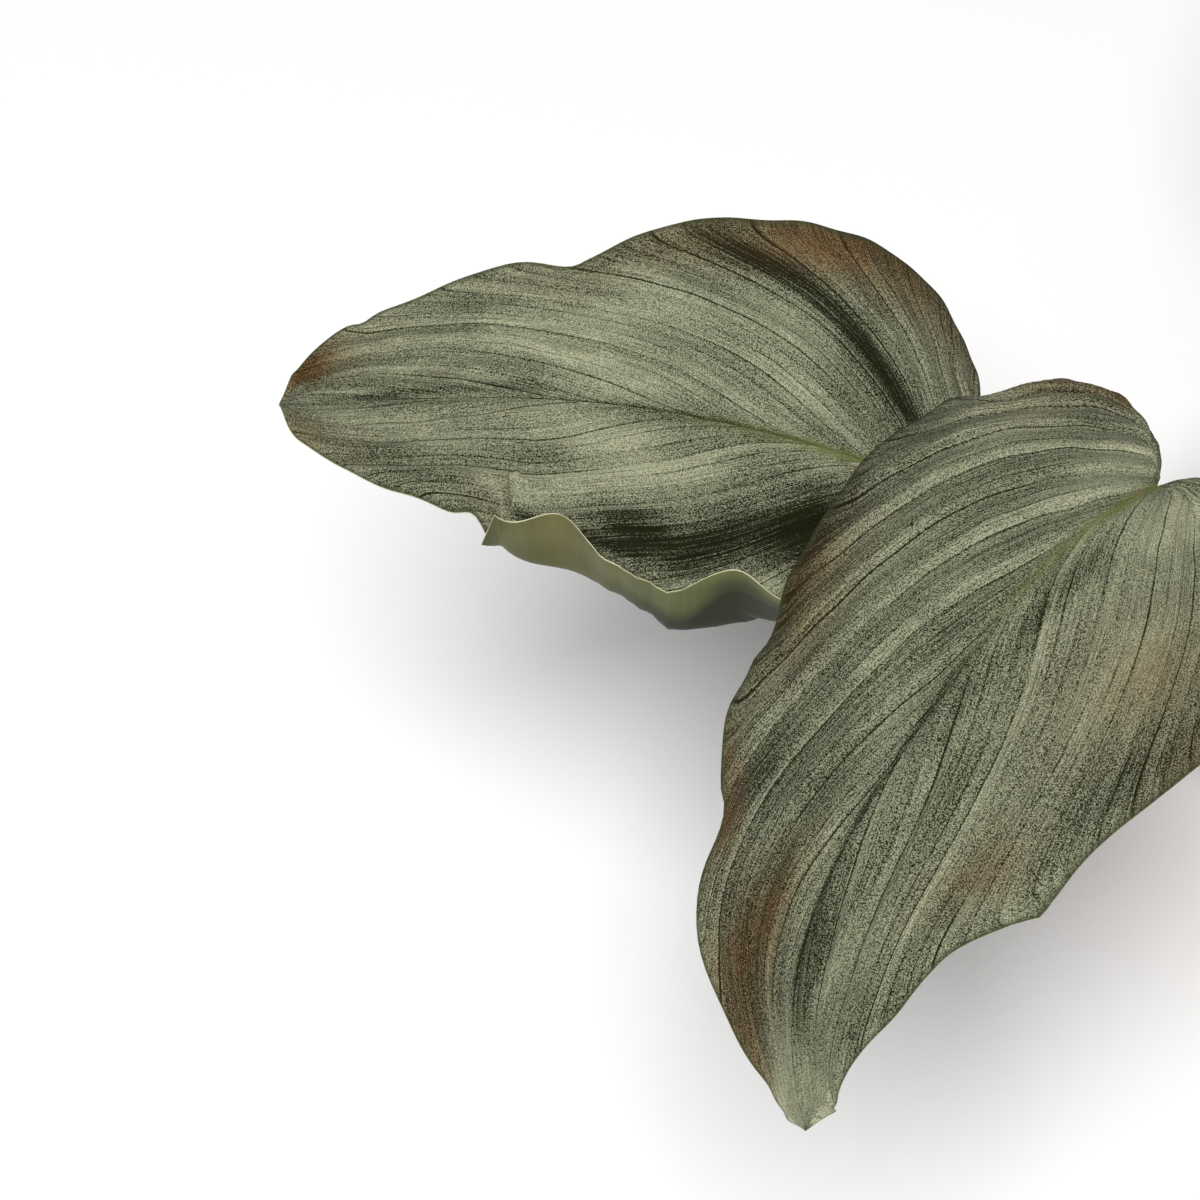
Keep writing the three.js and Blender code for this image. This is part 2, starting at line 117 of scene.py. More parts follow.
# Points, normals and leaf coordinates of one half of a blade: rows from the notch to the tip.
def halfBlade(leaf, side, rows, columns):
    form = bladeForm
    half = leaf["left"] if side > 0 else leaf["right"]
    length = leaf["length"]
    u = np.linspace(0, 1, rows + 1)
    v = np.linspace(0, 1, columns + 1)
    v = form["evenColumns"] * v + (1 - form["evenColumns"]) * v ** form["columnPower"]
    s = along(half["s"], u)
    t = along(half["t"], u)
    plain = t
    tucked = np.ones_like(u)
    if "tuck" in half:
        start, end, width, curlStart, curlEnd = half["tuck"]
        tucked = ease(curlEnd, curlStart, u)
        t = t + width * ease(end, start, u) * ease(0, 0.3, u)
    seed = leaf["seed"] + (0 if side > 0 else 11)
    inner = ease(0.04, 0.2, u) * ease(1, 0.93, u)  # waves fade out at the notch and at the tip
    t = t + form["marginWander"] * inner * wander(6 * u, 0 * u, seed)
    for at, width, spread in half.get("waves", []) + half.get("teeth", []):
        t = t + width * bump(u, at, spread)
    s[-1] = length
    t[-1] = 0
    foot = footOf(u)
    midrib = midribOf(leaf)
    start, tangent, left, normal = (
        readMidrib(midrib, key, foot) for key in ("at", "tangent", "left", "normal"))
    ds = s - foot * length
    reach = np.hypot(ds, t)
    safe = np.maximum(reach, 1e-9)
    plain = np.maximum(np.hypot(ds, plain), 1e-9)
    outward = tangent * (ds / safe)[:, None] + left * (side * t / safe)[:, None]
    outward /= np.maximum(np.linalg.norm(outward, axis=1), 1e-9)[:, None]
    # The blade's slope grows into its curl from the midrib to the margin.
    slope = np.radians(along(half["dihedral"], u))
    curl = along(half["curl"], u)
    if "curlWave" in half:
        swing, period, crest = half["curlWave"]
        curl = curl + swing * np.cos(2 * math.pi * (u - crest) / period)
    for at, more, spread in half.get("rolls", []):
        curl = curl + more * bump(u, at, spread)
    curl = np.radians(curl * tucked)
    curlFrom = along(half.get("curlFrom", [0.4, 0.4]), u)[:, None]
    curlTo = along(half.get("curlTo", [1, 1]), u)[:, None]
    fine = form["curlSteps"]
    steps = np.concatenate([[0], np.cumsum(np.repeat(np.diff(v), fine) / fine)])
    angle = slope[:, None] + curl[:, None] * ease(curlFrom, curlTo, steps[None, :])
    width = np.diff(steps)[None, :]

    def summed(value):
        parts = np.cumsum((value[:, 1:] + value[:, :-1]) / 2 * width, 1)
        return np.concatenate([np.zeros((rows + 1, 1)), parts], 1)[:, ::fine]

    away = summed(np.cos(angle))[..., None]
    up = summed(np.sin(angle))[..., None]
    angle = angle[:, ::fine, None]
    outward, normal = outward[:, None, :], normal[:, None, :]
    points = start[:, None, :] + reach[:, None, None] * (away * outward + up * normal)
    normals = -np.sin(angle) * outward + np.cos(angle) * normal
    uu = u[:, None] + 0 * v[None, :]
    vv = v[None, :] + 0 * u[:, None]
    # A vein leaves the midrib and sweeps towards the tip. Whole numbers lie on the main veins.
    # Waves of the outline cut the veins off rather than bend them.
    out = np.minimum(vv * (reach / plain)[:, None], 1)
    sweep = (1 - form["veinHook"]) * (1 - (1 - out) ** form["veinBend"])
    sweep = sweep + form["veinHook"] * (1 - np.exp(-out / form["hookWidth"]))
    vein = (uu - form["veinReach"] * sweep) / (1 - form["veinCrowd"] * sweep) / form["veinGap"]
    vein = vein + form["veinWander"] * wander(0.9 * uu, 0.6 * out, seed + 3) * ease(0, 0.3, out)
    # The tissue puffs up between the impressed veins and the margin waves a little.
    outside = np.ceil(vein) - vein
    puff = ease(0, 0.2, outside) * ease(1, 0.3, outside) - form["puffLevel"]
    strength = 0.8 + 0.9 * wander(3 * uu, 2 * out, seed + 9)
    calm = ease(0, 0.1, out) * ease(1, 0.86, out) * ease(0, 0.2, uu) * ease(1, 0.85, uu)
    lift = leaf["puff"] * puff * calm * strength
    for number, spread, depth, at, reachAlong in half.get("folds", []):
        lift = lift + depth * bump(vein, number, spread) * bump(uu, at, reachAlong) * calm
    lift = lift + form["faceWander"] * wander(5 * uu, 2 * out, seed + 7) * calm
    lift = lift + leaf["ruffle"] * wander(9 * uu, 0 * vv, seed + 5) * out ** 4 * inner[:, None]
    groove = bump(vv * reach[:, None], 0, form["grooveWidth"]) * ease(1, 0.9, uu)
    lift = lift - form["grooveDepth"] * groove
    return points + normals * lift[..., None], normals, uu, vv, vein


def addPiece(name, mesh):
    piece = bpy.data.objects.new(name, mesh)
    bpy.context.scene.collection.objects.link(piece)
    return piece


def pieceFrom(bm, name, material=None):
    mesh = bpy.data.meshes.new(name)
    bm.to_mesh(mesh)
    bm.free()
    if material:
        mesh.materials.append(material)
    return addPiece(name, mesh)


# A blade as one closed shell: velvet face, smooth back and a thin rounded rim between them.
# No operator makes such a surface, so its points are worked out.
def bladePiece(name, leaf, materials):
    form = bladeForm
    rows, columns = leaf["rows"], leaf["columns"]
    halves = {side: halfBlade(leaf, side, rows, columns) for side in (1, -1)}
    midrib = midribOf(leaf)
    spots, normals, marks = [], [], []
    ids, known = {}, {}
    for side in (1, -1):
        points, normal, uu, vv = halves[side][:4]
        tint, shade, under = leaf["tint"](side, uu, vv)
        ids[side] = np.zeros((rows + 1, columns + 1), int)
        for i in range(rows + 1):
            for j in range(columns + 1):
                # Both halves share the midrib, and the first and last rows are a point each.
                shared = j == 0 or i in (0, rows)
                if shared:
                    key = tuple(np.round(points[i, 0], 4))
                    if key in known:
                        ids[side][i, j] = known[key]
                        continue
                    known[key] = len(spots)
                ids[side][i, j] = len(spots)
                spots.append(points[i, 0] if shared else points[i, j])
                normals.append(readMidrib(midrib, "normal", footOf(uu[i, :1]))[0] if shared else normal[i, j])
                marks.append((tint[i, j], shade[i, j], under[i, j], vv[i, j]))
    spots = np.array(spots)
    normals = np.array(normals)
    normals /= np.linalg.norm(normals, axis=1)[:, None]
    faces = []
    veins = []
    for side in (1, -1):
        uu, vv, vein = halves[side][2:]
        n = ids[side]
        for i in range(rows):
            for j in range(columns):
                corners = [(i, j), (i + 1, j), (i + 1, j + 1), (i, j + 1)][::side]
                face = []
                places = []
                for a, b in corners:
                    if n[a, b] not in face:
                        face.append(int(n[a, b]))
                        places.append((vein[a, b] + form["streakShift"] * (side > 0),
                                       uu[a, b] + form["streakLean"] * vv[a, b]))
                if len(face) > 2:
                    faces.append(face)
                    veins.append(places)
    edges = dict.fromkeys(pair for face in faces for pair in zip(face, face[1:] + face[:1]))
    border = [(a, b) for a, b in edges if (b, a) not in edges]
    tints, shades, unders, margins = np.array(marks).T
    thick = leaf["thick"] * (form["thinMargin"] + (1 - form["thinMargin"]) * ease(1, 0.9, margins))
    # The rim's own row of points stands out by half the thickness.
    after = {a: b for a, b in border}
    before = {b: a for a, b in border}
    count = len(spots)
    rimIds = {}
    rim = []
    for a in sorted(after):
        outward = np.cross(spots[after[a]] - spots[before[a]], normals[a])
        outward /= max(np.linalg.norm(outward), 1e-9)
        rimIds[a] = 2 * count + len(rim)
        rim.append(spots[a] + outward * thick[a] * form["rimBulge"])
    half = normals * (thick / 2)[:, None]
    points = np.concatenate([spots + half, spots - half, np.array(rim)])
    allFaces = faces + [[a + count for a in face[::-1]] for face in faces]
    kinds = [0] * len(faces) + [1] * len(faces)
    places = veins + [p[::-1] for p in veins]
    for a, b in border:
        allFaces.append([a, rimIds[a], rimIds[b], b])
        allFaces.append([rimIds[a], a + count, b + count, rimIds[b]])
        kinds += [2, 2]
        places += [[(0.0, 0.0)] * 4] * 2
    mesh = bpy.data.meshes.new(name)
    mesh.from_pydata((points * mm).tolist(), [], allFaces)
    mesh.polygons.foreach_set("material_index", kinds)
    mesh.polygons.foreach_set("use_smooth", [True] * len(allFaces))
    uv = mesh.uv_layers.new(name="leaf")
    uv.data.foreach_set("uv", [c for face in places for place in face for c in place])
    none = np.zeros(len(rim))
    # Values for the face, the back and the rim.
    layers = {
        "tint": (tints, tints, none), "margin": (margins, margins, none + 1), "shade": (shades, unders, none),
    }
    for layerName, values in layers.items():
        layer = mesh.attributes.new(layerName, "FLOAT", "POINT")
        layer.data.foreach_set("value", np.concatenate(values).tolist())
    for material in materials:
        mesh.materials.append(material)
    mesh.update()
    return addPiece(name, mesh)


def joinTo(piece, node):
    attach(piece, "root")
    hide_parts(node)


# Materials: each helper adds one node to the tree and gives its output.
def newMaterial(name):
    material = bpy.data.materials.new(name)
    material.use_nodes = True
    tree = material.node_tree
    return material, tree, tree.nodes["Principled BSDF"]


def setShader(shader, values):
    for socket, value in values.items():
        shader.inputs[socket].default_value = value


def objectPoint(tree):
    return tree.nodes.new("ShaderNodeTexCoord").outputs["Object"]


def leafPoint(tree):
    node = tree.nodes.new("ShaderNodeUVMap")
    node.uv_map = "leaf"
    return node.outputs["UV"]


def leafValue(tree, name):
    node = tree.nodes.new("ShaderNodeAttribute")
    node.attribute_name = name
    return node.outputs["Fac"]


def splitNode(tree, vector):
    node = tree.nodes.new("ShaderNodeSeparateXYZ")
    tree.links.new(vector, node.inputs["Vector"])
    return node.outputs


def mathNode(tree, operation, a, b=None, clamp=False):
    node = tree.nodes.new("ShaderNodeMath")
    node.operation = operation
    node.use_clamp = clamp
    for socket, value in zip(node.inputs, (a, b)):
        if isinstance(value, (int, float)):
            socket.default_value = value
        elif value is not None:
            tree.links.new(value, socket)
    return node.outputs["Value"]


def timesNode(tree, a, b, clamp=False):
    return mathNode(tree, "MULTIPLY", a, b, clamp)


def rangeNode(tree, value, low, high, toLow=0.0, toHigh=1.0):
    node = tree.nodes.new("ShaderNodeMapRange")
    node.interpolation_type = "SMOOTHSTEP"
    tree.links.new(value, node.inputs["Value"])
    for socket, number in (("From Min", low), ("From Max", high), ("To Min", toLow), ("To Max", toHigh)):
        node.inputs[socket].default_value = number
    return node.outputs["Result"]


def noiseNode(tree, vector, scale, detail=2.0, rough=0.5):
    node = tree.nodes.new("ShaderNodeTexNoise")
    tree.links.new(vector, node.inputs["Vector"])
    for socket, number in (("Scale", scale), ("Detail", detail), ("Roughness", rough)):
        node.inputs[socket].default_value = number
    return node.outputs["Fac"]


# Noise drawn out into streaks by a scale for each axis.
def streakNode(tree, vector, scale, detail, rough):
    node = tree.nodes.new("ShaderNodeMapping")
    tree.links.new(vector, node.inputs["Vector"])
    node.inputs["Scale"].default_value = scale
    return noiseNode(tree, node.outputs["Vector"], 1.0, detail, rough)


def mixColor(tree, factor, a, b):
    node = tree.nodes.new("ShaderNodeMix")
    node.data_type = "RGBA"
    for name, value in (("Factor", factor), ("A", a), ("B", b)):
        if isinstance(value, tuple):
            node.inputs[name].default_value = value
        else:
            tree.links.new(value, node.inputs[name])
    return node.outputs["Result"]


def bumpNode(tree, height, strength, distance, normal=None):
    node = tree.nodes.new("ShaderNodeBump")
    node.inputs["Strength"].default_value = strength
    node.inputs["Distance"].default_value = distance
    tree.links.new(height, node.inputs["Height"])
    if normal is not None:
        tree.links.new(normal, node.inputs["Normal"])
    return node.outputs["Normal"]


# The upper face: silvery hairs over dark green, impressed veins, fine lines along them, brown margins,
# painted highlights along the vein crests, and painted shade and light from the blade's shade values.
velvetLook = {
    "dark": (0.009, 0.0105, 0.001, 1), "silver": (0.5, 0.515, 0.34, 1),
    "brownDark": (0.032, 0.016, 0.003, 1), "brownPale": (0.29, 0.18, 0.075, 1),
    "midrib": (0.15, 0.19, 0.05, 1), "edge": (0.045, 0.05, 0.022, 1),
    # Scale, detail and roughness, by place, and by vein number and leaf coordinate.
    "noises": {"speck": (4200, 1.0, 0.7), "cloud": (45, 4.0, 0.6)},
    "streaks": {"lines": ((24, 4, 1), 2.0, 0.6), "bands": ((1.3, 3, 1), 1.0, 0.5),
                "wisps": ((6, 2.5, 1), 2.0, 0.55)},
    # How silvery a place is: a level, and for each pattern its low end, its high end and what it adds.
    "level": -0.385,
    "patterns": {"speck": (0.36, 0.64, 0.62), "lines": (0.32, 0.68, 0.25), "wisps": (0.32, 0.68, 0.1),
                 "bands": (0.3, 0.7, 0.12), "cloud": (0.3, 0.7, 0.14)},
    # What the painted crest highlights, the dark veins, the fine lines and the painted shade and light add.
    "crest": 0.18, "vein": -0.5, "thirds": -0.34, "shade": -0.5,
    "veinWidth": 0.035, "thirdsWidth": 0.1, "crestWidth": (0.04, 0.42), "midribWidth": 0.05, "edgeFrom": 0.95,
    "lineRelief": (0.8, 0.0008), "speckRelief": (0.35, 0.0003),
    "shader": {"Roughness": 0.6, "Specular IOR Level": 0.1, "Sheen Weight": 0.015, "Sheen Roughness": 0.45,
               "Sheen Tint": (0.9, 0.9, 0.7, 1)},
}


def velvetMaterial(name, look):
    material, tree, shader = newMaterial(name)
    point, leafUv = objectPoint(tree), leafPoint(tree)
    across, lengthwise = splitNode(tree, leafUv)[:2]
    tint, margin, shade = (leafValue(tree, key) for key in ("tint", "margin", "shade"))
    noises = {key: noiseNode(tree, point, *values) for key, values in look["noises"].items()}
    noises.update({key: streakNode(tree, leafUv, *values) for key, values in look["streaks"].items()})
    # How far a place lies outside the last main vein: 0 on it, 1 on the next. Each strip has a painted
    # highlight along its crest, of its own strength.
    above = mathNode(tree, "CEIL", across)
    outside = mathNode(tree, "SUBTRACT", above, across)
    dice = tree.nodes.new("ShaderNodeTexWhiteNoise")
    dice.noise_dimensions = "1D"
    tree.links.new(above, dice.inputs["W"])
    own = rangeNode(tree, dice.outputs["Value"], 0.1, 1.0)
    crest = timesNode(tree, rangeNode(tree, outside, *look["crestWidth"], 1.0, 0.0), own)
    vein = rangeNode(tree, mathNode(tree, "PINGPONG", across, 0.5), 0.0, look["veinWidth"], 1.0, 0.0)
    vein = timesNode(tree, vein, rangeNode(tree, noises["bands"], 0.35, 0.6))
    # Thin dark lines run between the main veins, at thirds of their spacing.
    thirds = mathNode(tree, "PINGPONG", timesNode(tree, across, 3.0), 0.5)
    thirds = rangeNode(tree, thirds, 0.0, look["thirdsWidth"], 1.0, 0.0)
    thirds = timesNode(tree, thirds, rangeNode(tree, noises["wisps"], 0.38, 0.62))
    # Painted shade and painted light from the blade's shade values, broken up by the fine lines.
    shaded = timesNode(tree, shade, rangeNode(tree, noises["lines"], 0.3, 0.7, 1.35, 0.65))
    parts = [(rangeNode(tree, noises[key], low, high), share)
             for key, (low, high, share) in look["patterns"].items()]
    parts += [(crest, look["crest"]), (vein, look["vein"]), (thirds, look["thirds"]), (shaded, look["shade"])]
    level = look["level"]
    for part, share in parts:
        level = mathNode(tree, "ADD", level, timesNode(tree, part, share))
    level = timesNode(tree, level, 1.0, True)
    color = mixColor(tree, level, look["dark"], look["silver"])
    # Brown blotches come and go with the speckle.
    brown = timesNode(tree, tint, rangeNode(tree, noises["cloud"], 0.25, 0.6, 0.6, 1.15))
    brown = timesNode(tree, brown, rangeNode(tree, noises["bands"], 0.25, 0.6, 0.8, 1.1), True)
    color = mixColor(tree, brown, color, mixColor(tree, level, look["brownDark"], look["brownPale"]))
    # Yellow green along the midrib near the petiole, and a thin dark line at the margin.
    middle = rangeNode(tree, margin, 0.0, look["midribWidth"], 1.0, 0.0)
    middle = timesNode(tree, middle, rangeNode(tree, lengthwise, 0.25, 0.7, 0.9, 0.0))
    color = mixColor(tree, middle, color, look["midrib"])
    color = mixColor(tree, rangeNode(tree, margin, look["edgeFrom"], 1.0, 0.0, 0.75), color, look["edge"])
    tree.links.new(color, shader.inputs["Base Color"])
    setShader(shader, look["shader"])
    relief = bumpNode(tree, noises["lines"], *look["lineRelief"])
    tree.links.new(bumpNode(tree, noises["speck"], *look["speckRelief"], relief), shader.inputs["Normal"])
    return material


# The back of a blade: smooth, pale olive, with faint veins, warm patches and painted shade from the blade's
# shade values.
backLook = {
    "low": (0.08, 0.092, 0.032, 1), "high": (0.155, 0.165, 0.056, 1), "vein": (0.18, 0.19, 0.09, 1),
    "warm": (0.2, 0.15, 0.06, 1), "shade": (0.018, 0.022, 0.008, 1), "warmShare": 0.4,
    "cloud": (38, 4.0, 0.55), "lines": ((10, 3, 1), 2.0, 0.5), "relief": (0.15, 0.0005),
    "shader": {"Roughness": 0.55, "Specular IOR Level": 0.2},
}


def backMaterial(name, look):
    material, tree, shader = newMaterial(name)
    cloud = noiseNode(tree, objectPoint(tree), *look["cloud"])
    lines = streakNode(tree, leafPoint(tree), *look["lines"])
    color = mixColor(tree, rangeNode(tree, cloud, 0.3, 0.7), look["low"], look["high"])
    color = mixColor(tree, rangeNode(tree, lines, 0.35, 0.7, 0.0, 0.2), color, look["vein"])
    color = mixColor(tree, timesNode(tree, leafValue(tree, "tint"), look["warmShare"]), color, look["warm"])
    # Painted shade on the back, from the blade's shade values.
    color = mixColor(tree, timesNode(tree, leafValue(tree, "shade"), 1.0, True), color, look["shade"])
    tree.links.new(color, shader.inputs["Base Color"])
    tree.links.new(bumpNode(tree, lines, *look["relief"]), shader.inputs["Normal"])
    setShader(shader, look["shader"])
    return material


# The pale, slightly blotched rim of a blade.
rimLook = {
    "color": (0.6, 0.6, 0.38, 1), "darker": 0.6, "cloud": (160, 3.0, 0.6), "shader": {"Roughness": 0.5},
}


def rimMaterial(name, look):
    material, tree, shader = newMaterial(name)
    cloud = noiseNode(tree, objectPoint(tree), *look["cloud"])
    low = tuple(look["darker"] * c for c in look["color"][:3]) + (1,)
    color = mixColor(tree, rangeNode(tree, cloud, 0.3, 0.7), low, look["color"])
    tree.links.new(color, shader.inputs["Base Color"])
    setShader(shader, look["shader"])
    return material


# Petioles and the rolled leaf: smooth, with fine streaks upwards.
stalkLook = {
    "petioleLow": (0.075, 0.062, 0.03, 1), "petioleHigh": (0.17, 0.15, 0.075, 1),
    "streak": ((420, 420, 30), 3.0, 0.6), "cloud": (60, 3.0, 0.6), "streakShare": 0.6, "cloudShare": 0.4,
    "relief": (0.3, 0.0005), "shader": {"Roughness": 0.48},
}


def stalkMaterial(name, low, high):
    look = stalkLook
    material, tree, shader = newMaterial(name)
    point = objectPoint(tree)
    streak = streakNode(tree, point, *look["streak"])
    cloud = timesNode(tree, noiseNode(tree, point, *look["cloud"]), look["cloudShare"])
    mixed = mathNode(tree, "ADD", timesNode(tree, streak, look["streakShare"]), cloud)
    color = mixColor(tree, rangeNode(tree, mixed, 0.3, 0.68), low, high)
    tree.links.new(color, shader.inputs["Base Color"])
    tree.links.new(bumpNode(tree, streak, *look["relief"]), shader.inputs["Normal"])
    setShader(shader, look["shader"])
    return material


# Each tint gives the brown, the painted shade and painted light of the face, and the painted shade of the
# back, for one half of a blade. A negative shade is painted light, a paler, more silvery place. Every term is
# a strength at a u and a v.
def frontTintAndShade(side, u, v):
    # Darker along the midrib towards the tip.
    rib = 0.8 * bump(v, 0, 0.014) * ease(0.55, 0.66, u)
    if side < 0:
        band = bump(u - 0.1 * v, 0.795, 0.036) * ease(0.1, 0.4, v)
        spots = bump(u, 0.775, 0.03) * ease(0.7, 0.95, v)
        spots = spots + 0.6 * bump(u, 0.645, 0.05) * ease(0.55, 0.85, v)
        lobe = bump(u, 0.31, 0.08) * ease(0.5, 0.8, v)
        # Painted shadow on the margin where it rolls down, and painted shade in the hollow inside it.
        foldShadow = 0.9 * bump(u, 0.62, 0.075) * ease(0.78, 0.97, v)
        hollowShade = np.interp(u, [0.7, 0.76, 0.8], [0.4, 0.7, 0.9])
        hollowShade = 0.4 * bump(v, hollowShade, 0.12) * bump(u, 0.755, 0.04)
        # Painted light near the base, mid-half and by the midrib, and all over; paler towards the tip.
        base = -0.6 * bump(u, 0.36, 0.1) * bump(v, 0.2, 0.18)
        base = base - 0.4 * bump(u, 0.42, 0.07) * bump(v, 0.66, 0.22)
        spine = -0.3 * bump(u, 0.67, 0.06) * bump(v, 0.14, 0.14)
        tip = -1.0 * ease(0.87, 0.94, u) - 0.05
        brown = np.clip(0.75 * band + spots + lobe, 0, 1)
        return brown, foldShadow + hollowShade + base + spine + tip + 0.2 * band + 0.1 * lobe + rib, 0 * v
    band = 0.4 * bump(u, 0.56, 0.07) * bump(v, 0.62, 0.22)
    spots = 0.55 * bump(u, 0.735, 0.03) * bump(v, 0.68, 0.12)
    spots = spots + 0.5 * bump(u, 0.6, 0.04) * ease(0.8, 1, v)
    # Painted light over the whole half, with painted shade near the margin.
    lightAndMarginShade = 0.4 * bump(u, 0.62, 0.06) * bump(v, 0.86, 0.1) - 0.2
    # Painted light near the base and mid-half.
    base = -0.8 * bump(u, 0.34, 0.09) * bump(v, 0.24, 0.2)
    base = base - 0.3 * bump(u, 0.56, 0.1) * bump(v, 0.5, 0.14)
    # Painted shade beside the midrib, and near the tip by the midrib and the margin; paler towards the tip.
    spine = 0.45 * bump(v, 0.11, 0.05) * bump(u, 0.52, 0.12)
    low = 0.75 * bump(u, 0.85, 0.06) * ease(0.38, 0.2, v) + 0.4 * bump(u, 0.84, 0.04) * ease(0.6, 0.9, v)
    tip = -0.2 * ease(0.78, 0.86, u) - 0.4 * ease(0.9, 0.95, u)
    return np.clip(band + spots, 0, 1), lightAndMarginShade + base + spine + low + tip + rib, 0 * v


def leftTintAndShade(side, u, v):
    tip = bump(u, 0.94, 0.05) * ease(0.4, 0.8, v)
    # Painted light: the whole leaf is made paler.
    silver = -0.22
    if side < 0:
        top = 0.85 * bump(u, 0.5, 0.15) * ease(0.66, 0.88, v)
        # Painted shade in the trough beyond the crest, and darker at the margin and along the midrib.
        low = np.interp(u, [0.3, 0.384, 0.49, 0.58, 0.66, 0.75], [0.32, 0.43, 0.62, 0.8, 0.92, 1])
        trough = 1.3 * bump(v - low, 0, 0.07) * ease(0.27, 0.34, u) * ease(0.7, 0.54, u)
        edge = 0.3 * ease(0.85, 0.95, v) * ease(0.72, 0.6, u)
        rib = bump(v, 0, 0.014) * ease(0.95, 0.85, u)
        # Painted shade in a valley beside the midrib near the tip.
        valley = 0.5 * bump(v, 0.09, 0.05) * ease(0.68, 0.76, u) * ease(0.97, 0.9, u)
        # Painted light in pale patches, beside the midrib, along the crest and in a band towards the tip.
        paintedLight = silver - 0.25 * bump(u, 0.68, 0.16) * bump(v, 0.45, 0.3)
        paintedLight = paintedLight - 0.2 * bump(u, 0.51, 0.06) * bump(v, 0.52, 0.1)
        spine = -0.45 * bump(u, 0.62, 0.07) * bump(v, 0.12, 0.08)
        crest = np.interp(u, [0.36, 0.5, 0.62, 0.7, 0.78], [0.05, 0.31, 0.5, 0.62, 0.9])
        crest = -0.15 * bump(v - crest, 0, 0.045) * ease(0.38, 0.48, u) * ease(0.85, 0.75, u)
        far = np.interp(u, [0.6, 0.72, 0.8, 0.86, 0.92], [0.12, 0.33, 0.53, 0.65, 0.78])
        far = -0.45 * bump(v - far, 0, 0.065) * ease(0.6, 0.68, u) * ease(0.98, 0.92, u)
        # All the painted light of this half, with one more pale patch near the tip.
        bright = paintedLight + spine + crest + far - 0.3 * bump(v, 0.36, 0.07) * bump(u, 0.86, 0.05)
        return np.clip(top + tip, 0, 1), trough + edge + rib + valley + bright + 0.4 * tip, 0 * v
    # Painted shade in the pocket under the rolled margin, painted shadow of the front leaf, painted light on
    # the lip.
    pocket = np.interp(u, [0.4, 0.5, 0.58, 0.65], [0.3, 0.36, 0.47, 0.45])
    pocket = 1.2 * ease(0.36, 0.42, u) * ease(0.69, 0.62, u) * bump(v - pocket, 0, 0.08)
    shadow = 0.7 * ease(0.5, 0.4, u) * ease(0.04, 0.2, v)
    lip = -0.7 * ease(0.38, 0.42, u) * ease(0.55, 0.5, u) * bump(v, 0.56, 0.05)
    # Painted highlight along the ridge.
    ridge = np.interp(u, [0.5, 0.6, 0.66, 0.7, 0.739, 0.7414, 0.78, 0.8, 0.83],
                      [0.12, 0.24, 0.32, 0.38, 0.47, 0.7, 0.8, 0.87, 0.93])
    ridge = -0.5 * bump(v - ridge, 0, 0.06) * ease(0.5, 0.57, u) * ease(0.84, 0.74, u)
    # Painted light in pale patches.
    paintedLight = silver - 0.45 * bump(u, 0.9, 0.06) * bump(v, 0.35, 0.25)
    paintedLight = paintedLight - 0.3 * bump(v, 0.42, 0.12) * bump(u, 0.81, 0.07)
    paintedLight = paintedLight - 0.5 * bump(v, 0.14, 0.1) * bump(u, 0.66, 0.08)
    warm = 0.7 * bump(u, 0.68, 0.05) * ease(0.55, 0.7, v)
    # Painted shade on the back of the rolled margin, deeper towards the notch.
    hullShade = ease(0.66, 0.74, v) * ease(0.93, 0.8, v) * ease(0.745, 0.72, u)
    hullShade = hullShade * (0.25 + 0.7 * ease(0.66, 0.58, u))
    hullShade = hullShade + 0.75 * ease(0.57, 0.52, u) * ease(0.5, 0.6, v) * ease(1, 0.93, v)
    # Darker at the margin, and painted shade in a crease.
    edge = 0.35 * bump(u, 0.82, 0.05) * ease(0.5, 0.9, v)
    crease = 0.8 * bump(v, 0.53, 0.03) * ease(0.6, 0.63, u) * ease(0.738, 0.73, u)
    return np.clip(0.4 * tip + warm, 0, 1), pocket + shadow + lip + ridge + paintedLight + edge + crease, hullShade


def commonTintAndShade(side, u, v):
    # Brown bands near the margin and at the tip, and darker towards the margin.
    phase = 2.1 if side > 0 else 0.4
    band = ease(0.74, 0.97, v) * (0.5 + 0.5 * np.sin(9 * u + phase))
    return np.clip(0.75 * band + 0.5 * ease(0.9, 1, u), 0, 1), 0.35 * ease(0.75, 1, v), 0 * v


# Angles are in degrees. s and t are stations of the outline along and across the midrib, dihedral is the
# slope beside it, and curl is what is added towards the margin. A wave, tooth or roll has its u, its size and
# its spread. A fold has its vein, spread and depth, then its u and its length.
frontLeaf = {
    "node": "leaf_front", "place": 1, "length": 138.5, "base": (-88.5, -50.5, 190),
    "heading": [38, 51, 60, 112], "pitch": [-24, 9, 29, 45], "roll": [-10, 6, 0],
    "left": {
        "s": [0, -15, -21, -18, -5, 15, 41, 71, 101, 129, 138.5],
        "t": [0, 4, 15, 29, 39, 44, 42, 34, 22, 9.5, 0],
        "dihedral": [10, -4, 0], "curl": [-40, -35, -30, -20, 0], "curlFrom": [0.4, 0.5],
        "waves": [(0.65, -1.2, 0.04), (0.732, 2.4, 0.022), (0.78, -1, 0.02), (0.835, 0.9, 0.02),
                  (0.94, 0.9, 0.02), (0.975, 3.4, 0.02)],
        "teeth": [(0.735, 0.8, 0.006)],
    },
    "right": {
        "s": [0, -8, -17, -21.5, -7, 15, 41, 70, 100, 128, 138.5],
        "t": [0, 6, 15, 28.5, 38, 43, 41, 34, 23.5, 6, 0],
        "dihedral": [-6, -12, 0], "curl": [-60, -50, -30, -15, 0], "curlFrom": [0.4, 0.5],
        "waves": [(0.345, 1.5, 0.03), (0.405, -1.4, 0.02), (0.69, -1, 0.02), (0.732, 1.6, 0.016),
                  (0.783, -3.8, 0.027), (0.845, 0.8, 0.02), (0.912, -1.3, 0.02), (0.97, 0.9, 0.015)],
        "teeth": [(0.7, 0.6, 0.008)],
    },
    "arrive": 50, "lift": 0.35, "rows": 170, "columns": 74, "puff": 1.3, "ruffle": 0.9,
    "thick": 0.5, "seed": 1.3, "tint": frontTintAndShade,
}

